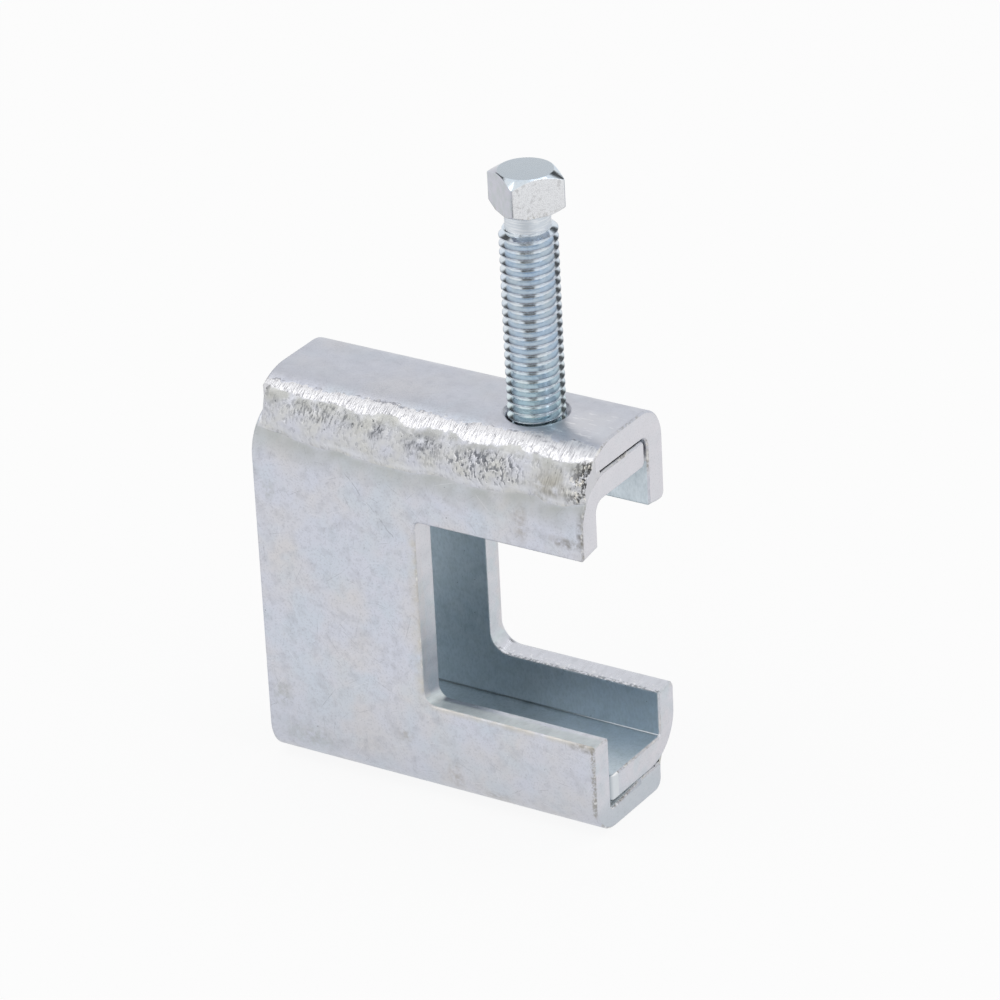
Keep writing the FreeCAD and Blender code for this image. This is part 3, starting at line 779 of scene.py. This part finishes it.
# The thread's form from root to crest and back in one pitch, cut down by the point and the neck
phase = add(thread, "Math", {0: travel, 1: 0.0001}, operation="ADD")[0]
phase = add(thread, "Math", {0: phase}, operation="FRACT")[0]
away = add(thread, "Math", {0: phase, 1: 2.0, 2: -1.0}, operation="MULTIPLY_ADD")[0]
away = add(thread, "Math", {0: away}, operation="ABSOLUTE")[0]
form = {
    "Value": away, "From Min": 1 - root_share, "From Max": crest_share,
    "To Min": size["Root Radius"], "To Max": size["Crest Radius"],
}
form = add(thread, "MapRange", form)[0]
point = add(thread, "Math", {0: held_z, 1: size["Tip Z"]}, operation="SUBTRACT")[0]
point = add(thread, "Math", {0: point, 1: size["Point Radius"]}, operation="ADD")[0]
neck = add(thread, "Math", {0: size["Neck Z"], 1: held_z}, operation="SUBTRACT")[0]
neck = {0: neck, 1: neck_slope, 2: size["Neck Radius"]}
neck = add(thread, "Math", neck, operation="MULTIPLY_ADD")[0]
radius = form
for other, operation in ((point, "MINIMUM"), (neck, "MINIMUM"), (spent, "SUBTRACT"), (0.0, "MAXIMUM")):
    radius = add(thread, "Math", {0: radius, 1: other}, operation=operation)[0]

# The cup that is pressed in the point, then the sheet wound up and its seam closed
cup = {"From Min": size["Cup Radius"], "From Max": 0.0, "To Min": 0.0, "To Max": size["Cup Depth"]}
cup = add(thread, "MapRange", {"Value": radius, **cup})[0]
at_point = add(thread, "Math", {0: raw_z, 1: held_z}, operation="LESS_THAN")[0]
z = add(thread, "Math", {0: cup, 1: at_point, 2: held_z}, operation="MULTIPLY_ADD")[0]
angle = add(thread, "Math", {0: turn, 1: 2 * math.pi}, operation="MULTIPLY")[0]
cosine, sine = (add(thread, "Math", {0: angle}, operation=part)[0] for part in ("COSINE", "SINE"))
x = add(thread, "Math", {0: radius, 1: cosine, 2: size["Axis X"]}, operation="MULTIPLY_ADD")[0]
y = add(thread, "Math", {0: radius, 1: sine}, operation="MULTIPLY")[0]
moved = add(thread, "CombineXYZ", {0: x, 1: y, 2: z})[0]
wound = add(thread, "GeometryNodeSetPosition", {"Geometry": sheet, "Position": moved})[0]
closed = add(thread, "GeometryNodeMergeByDistance", {"Geometry": wound, "Distance": 0.000004})[0]
real = add(thread, "GeometryNodeRealizeInstances", {"Geometry": closed})[0]
coated = add(thread, "GeometryNodeSetMaterial", {"Geometry": real, "Material": size["Finish"]})[0]
add(thread, "NodeGroupOutput", {0: coated})

steel, tree, where = new_material("bright_zinc_plated_screw")
place = add(tree, "SeparateXYZ", {"Vector": where})
normal = add(tree, "NewGeometry")["True Normal"]
facing = add(tree, "SeparateXYZ", {"Vector": normal})

# Plating: pale blue grey with clouds of 4 mm, faint drawing lines along the shank and a few specks
tone = lay(tree, "#CFDBE7", "#D6DEE4", clouds(tree, where, 4.0, 0.40, 0.62))
tone = lay(tree, tone, "#C9DDE0", 0.7, (place[2], 108.0, 90.0))
tone = lay(tree, tone, "#A9B5C0", 0.3, clouds(tree, where, 1.2, 0.48, 0.72, 4.0, seed=15.0))
tone = lay(tree, tone, "#7C828C", 0.7, specks(tree, where, 1.3, 0.13, 0.35))
drawn = clouds(tree, where, 0.4, 0.50, 0.72, 3.0, seed=6.0, stretch=(1, 1, 0.12))
tone = lay(tree, tone, "#E9EEF2", 0.3, drawn)

# Head: one pair of sides wiped up and down by the heading die, the others smooth lavender grey
head_turn = math.radians(56)
crown = meet(tree, (place[2], 138.0, 138.3))
square_to = []
for angle in (head_turn - math.pi / 2, head_turn):
    aim = (math.cos(angle), math.sin(angle), 0)
    along = add(tree, "VectorMath", {0: normal, 1: aim}, operation="DOT_PRODUCT")["Value"]
    square_to.append(add(tree, "Math", {0: along}, operation="ABSOLUTE")[0])
wiped = meet(tree, (square_to[0], 0.9, 0.97), crown)
grain = clouds(tree, where, 0.20, 0.44, 0.74, 4.0, seed=71.0, stretch=(1, 1, 0.70))
tone = lay(tree, tone, lay(tree, "#E6E7E9", "#C6C6C9", grain), 0.92, wiped)
tone = lay(tree, tone, "#8E8E8E", 0.55, wiped, specks(tree, where, 0.55, 0.10, 0.35, seed=88.0))
tone = lay(tree, tone, "#9A9999", 0.35, wiped, clouds(tree, where, 1.1, 0.56, 0.66, 4.0, seed=77.0))
plain = add(tree, "Math", {0: crown, 1: wiped}, operation="SUBTRACT")[0]
mottle = clouds(tree, where, 1.6, 0.38, 0.66, 3.0, seed=93.0)
tone = lay(tree, tone, lay(tree, "#BCBCC6", "#B2B7BB", mottle), 0.9, plain, (facing[2], 0.4, 0.2))
# Painted shade on the chamfer facets that face left
left = add(tree, "VectorMath", {0: normal, 1: (-0.94, -0.34, 0)}, operation="DOT_PRODUCT")["Value"]
shaded_chamfer = meet(tree, crown, (facing[2], 0.5, 0.6), (facing[2], 0.95, 0.92), (left, 0.3, 0.42))
tone = lay(tree, tone, "#B3B3BE", 0.8, shaded_chamfer)

# Neck: matt and pale, with the fine rings of turning
off_x = add(tree, "Math", {0: place[0], 1: screw_x}, operation="SUBTRACT")[0]
out = add(tree, "CombineXYZ", {0: off_x, 1: place[1]})[0]
out = add(tree, "VectorMath", {0: out}, operation="LENGTH")["Value"]
over_thread = meet(tree, (place[2], 133.5, 133.7))
neck = add(tree, "Math", {0: over_thread, 1: crown}, operation="SUBTRACT")[0]
neck = meet(tree, neck, (out, 5.1, 5.0))
tone = lay(tree, tone, "#D2D8DF", 0.85, neck)
rings = clouds(tree, where, 0.3, 0.45, 0.62, 3.0, seed=95.0, stretch=(0.1, 0.1, 1))
tone = lay(tree, tone, "#F2F4F6", 0.6, neck, rings)

# Thread crests: darker along their tops, and painted shade along the underside of each crest
below_head = (crown, 1.0, 0.0)
tone = lay(tree, tone, "#5B626E", 0.45, (facing[2], -0.2, -0.5), (out, 5.7, 6.1), below_head)
ridge = clouds(tree, where, 0.9, 0.25, 0.60, 3.0, seed=83.0)
tone = lay(tree, tone, "#9A9CAA", 0.6, (out, 6.1, 6.3), below_head, ridge)
# Painted shade: the flat top of the head darker
top = meet(tree, (facing[2], 0.9, 0.97))
tone = lay(tree, tone, "#B1BAC2", 0.92, crown, top)
worn = clouds(tree, where, 0.8, 0.50, 0.60, 4.0, seed=79.0)
tone = lay(tree, tone, "#A5A29C", 0.6, crown, (place[2], 139.6, 138.6), worn)

skin = add(tree, "Bevel", {"Radius": 0.00015}, samples=2)[0]
relief = add(tree, "TexNoise", {"Vector": where, "Scale": 1 / 0.6, "Detail": 3.0})[0]
for height, strength in ((relief, 0.3), (meet(tree, wiped, grain), 0.5)):
    bump = {"Height": height, "Strength": strength, "Distance": 0.00003, "Normal": skin}
    skin = add(tree, "Bump", bump)[0]
rough = clouds(tree, where, 1.5, 0.3, 0.7, 3.0, seed=5.0, to=(0.07, 0.14))
sides = meet(tree, crown, (square_to[1], 0.985, 0.96), (facing[2], 0.4, 0.2))
matt = either(tree, sides, top, meet(tree, neck, 2.2))
rough = add(tree, "Math", {0: matt, 1: 0.16, 2: rough}, operation="MULTIPLY_ADD")[0]
bare_metal(tree, tone, rough, skin)

carrier = bpy.data.objects.new("shank_carrier", bpy.data.meshes.new("shank_carrier"))
bpy.context.scene.collection.objects.link(carrier)
modifier = carrier.modifiers.new("rolled_thread", "NODES")
modifier.node_group = thread
for item in thread.interface.items_tree:
    if item.in_out == "INPUT" and item.name in sizes:
        modifier[item.identifier] = sizes[item.name]
    if item.in_out == "INPUT" and item.name == "Finish":
        modifier[item.identifier] = steel
shank = bpy.data.meshes.new_from_object(carrier.evaluated_get(bpy.context.evaluated_depsgraph_get()))
bpy.data.objects.remove(carrier)

# Square head and neck, one turned and headed form: at each angle round the axis the profile runs
# up the neck, out under the head, up its side and in over the chamfered top to the centre
head_side, head_h, corner_r = 12.5, 8.9, 0.5
neck_h = 4.6
top_flat, low_flat = 5.95, 6.7
slope = math.tan(math.radians(30))


def square_reach(angle):
    """Distance from the axis to the side of the rounded square."""
    a = abs((angle + math.pi / 4) % (math.pi / 2) - math.pi / 4)
    half = head_side / 2
    straight = half - corner_r
    if half * math.tan(a) <= straight:
        return half / math.cos(a)
    d = straight * (math.cos(a) + math.sin(a))
    return d + math.sqrt(max(corner_r ** 2 - 2 * straight * straight + d * d, 0.0))


def rounded_profile(corners, steps):
    """Corners of a profile, each (radius, height, rounding), with the rounded ones filled in."""
    points = [corners[0][:2]]
    for before, corner, after in zip(corners, corners[1:], corners[2:]):
        p, q, s = Vector(before[:2]), Vector(corner[:2]), Vector(after[:2])
        reach = min(corner[2], (p - q).length * 0.45, (s - q).length * 0.45)
        start = q + (p - q).normalized() * reach if (p - q).length > 1e-9 else q
        stop = q + (s - q).normalized() * reach if (s - q).length > 1e-9 else q
        for n in range(steps + 1):
            t = n / steps
            points.append(tuple((1 - t) ** 2 * start + 2 * t * (1 - t) * q + t * t * stop))
    points.append(corners[-1][:2])
    return points


# Angles of the profiles, closer together towards the corners of the square
half_side = [7, 14, 21, 28, 33, 36, 38, 39.5, 40.8, 42.2, 43.6]
one_side = [-45] + [-a for a in reversed(half_side)] + [0] + half_side
angles = [quarter * math.pi / 2 + math.radians(a) for quarter in range(4) for a in one_side]
verts, faces = [], []
for a in angles:
    reach = square_reach(a)
    side_top = head_h - (reach - top_flat) * slope
    side_low = max(reach - low_flat, 0.0) * slope
    profile = rounded_profile(
        [
            (0.0, -neck_h, 0), (neck_r, -neck_h, 0), (neck_r, 0.0, 0.35),
            (min(low_flat, reach) - 0.1, 0.0, 0.1), (reach, side_low, 0.22), (reach, side_top, 0.18),
            (top_flat, head_h, 0.2), (0.0, head_h, 0),
        ],
        4,
    )
    for r, h in profile:
        x, y = screw_x + r * math.cos(a + head_turn), r * math.sin(a + head_turn)
        verts.append((x / 1000, y / 1000, (head_z + h) / 1000))
ring = len(profile)
for i in range(len(angles)):
    j = (i + 1) % len(angles)
    for k in range(ring - 1):
        faces.append((i * ring + k, j * ring + k, j * ring + k + 1, i * ring + k + 1))
head = bpy.data.meshes.new("square_head")
head.from_pydata(verts, [], faces)

work = bmesh.new()
work.from_mesh(head)
bmesh.ops.remove_doubles(work, verts=work.verts, dist=0.000002)
bmesh.ops.recalc_face_normals(work, faces=work.faces)
work.from_mesh(shank)
bmesh.ops.dissolve_degenerate(work, dist=0.0000005, edges=work.edges)
bmesh.ops.recalc_face_normals(work, faces=work.faces)
screw = bpy.data.meshes.new("threaded_square_head_screw")
work.to_mesh(screw)
work.free()
set_screw = mesh_object("threaded_square_head_screw", screw, steel)
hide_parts("set_screw")
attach(set_screw, "screw")

# Floor, light and camera. A plain pale floor that keeps the shadow, with two painted dark patches that only
# reflections show, a white surround with two dark flags that only reflections show, and three softboxes; the
# camera stands at the photograph's angle.
floor_mesh = bpy.data.meshes.new("floor")
floor_mesh.from_pydata([(-6, -6, 0), (6, -6, 0), (6, 6, 0), (-6, 6, 0)], [], [(0, 1, 2, 3)])
floor = bpy.data.objects.new("floor", floor_mesh)
floor.location = (0, 0, -0.0001)
bpy.context.scene.collection.objects.link(floor)
paper = bpy.data.materials.new("pale_paper_floor")
paper.use_nodes = True
tree = paper.node_tree
tree.nodes.clear()
ray = add(tree, "LightPath")
seen = meet(tree, either(tree, ray["Is Camera Ray"], ray["Is Glossy Ray"]), 0.88)
# Two painted dark patches in the floor, shown only to reflections as painted dark reflections
spots = []
for centre, turn, size, weight in (
    ((0.105, -0.24, 0), 22, (0.19, 0.07, 1), 0.95), ((-0.11, 0.20, 0), 32, (0.22, 0.055, 1), 0.7),
):
    spot = add(
        tree, "Mapping",
        {
            "Vector": add(tree, "TexCoord")["Object"], "Location": centre,
            "Rotation": (0, 0, math.radians(turn)), "Scale": size,
        },
        vector_type="TEXTURE",
    )[0]
    far = add(tree, "VectorMath", {0: spot}, operation="LENGTH")["Value"]
    spots.append(meet(tree, (far, 1.0, 0.6), weight))
lit = meet(tree, (meet(tree, either(tree, *spots), ray["Is Glossy Ray"]), 1.0, 0.0))
matt = add(tree, "BsdfDiffuse", {"Color": linear("#F6F6F6")})[0]
white = add(tree, "Emission", {"Color": (1, 1, 1, 1), "Strength": lit})[0]
shown = add(tree, "MixShader", {0: seen, 1: matt, 2: white})[0]
add(tree, "OutputMaterial", {"Surface": shown})
floor_mesh.materials.append(paper)

world = bpy.data.worlds.new("studio")
bpy.context.scene.world = world
world.use_nodes = True
tree = world.node_tree
tree.nodes.clear()
ray = add(tree, "LightPath")
look = add(tree, "TexCoord")["Generated"]
flags = []
for aim, inner, outer in (((-0.82, 0.20, 0.50), 13, 20), ((0.05, 0.85, 0.50), 7, 15)):
    toward = {0: look, 1: Vector(aim).normalized()}
    near = add(tree, "VectorMath", toward, operation="DOT_PRODUCT")["Value"]
    flags.append(meet(tree, (near, math.cos(math.radians(outer)), math.cos(math.radians(inner)))))
dark = meet(tree, either(tree, *flags), ray["Is Glossy Ray"])
dark = add(tree, "MapRange", {"Value": dark, "To Min": 1.0, "To Max": 0.1})[0]
seen = either(tree, ray["Is Camera Ray"], ray["Is Glossy Ray"], ray["Is Transmission Ray"])
dim = add(tree, "Background", {"Color": (1, 1, 1, 1), "Strength": 0.75})[0]
white = add(tree, "Background", {"Color": (1, 1, 1, 1), "Strength": dark})[0]
shown = add(tree, "MixShader", {0: seen, 1: dim, 2: white})[0]
add(tree, "OutputWorld", {"Surface": shown})


def soft_lamp(name, place, aim, wide, high, power):
    """Softbox that faces a point."""
    lamp = bpy.data.lights.new(name, "AREA")
    lamp.shape = "RECTANGLE"
    lamp.size, lamp.size_y = wide, high
    lamp.energy = power
    made = bpy.data.objects.new(name, lamp)
    made.location = place
    made.rotation_euler = (Vector(aim) - Vector(place)).to_track_quat("-Z", "Y").to_euler()
    bpy.context.scene.collection.objects.link(made)


soft_lamp("overhead_softbox", (-0.45, -0.35, 1.1), (0, 0, 0.06), 0.6, 0.6, 1.1)
soft_lamp("side_softbox", (1.05, -0.12, 0.45), (0, 0, 0.08), 0.26, 0.7, 0.9)
soft_lamp("rear_softbox", (0.22, 0.40, 1.15), (0, 0, 0.08), 0.22, 0.5, 0.45)

camera = bpy.data.cameras.new("camera")
camera.lens = 208.2149
camera.sensor_width = 36.0
camera.clip_start = 0.05
camera.clip_end = 20.0
eye = bpy.data.objects.new("camera", camera)
right = Vector((0.84723772, 0.52922574, -0.0459169))
up = Vector((-0.20035019, 0.39839856, 0.89506334))
back = Vector((0.49198378, -0.74913197, 0.44356877))
turned = Matrix((right, up, back)).transposed().to_4x4()
eye.matrix_world = Matrix.Translation((0.622748, -0.932051, 0.619520)) @ turned
bpy.context.scene.collection.objects.link(eye)
bpy.context.scene.camera = eye
bpy.context.scene.view_settings.view_transform = "Standard"
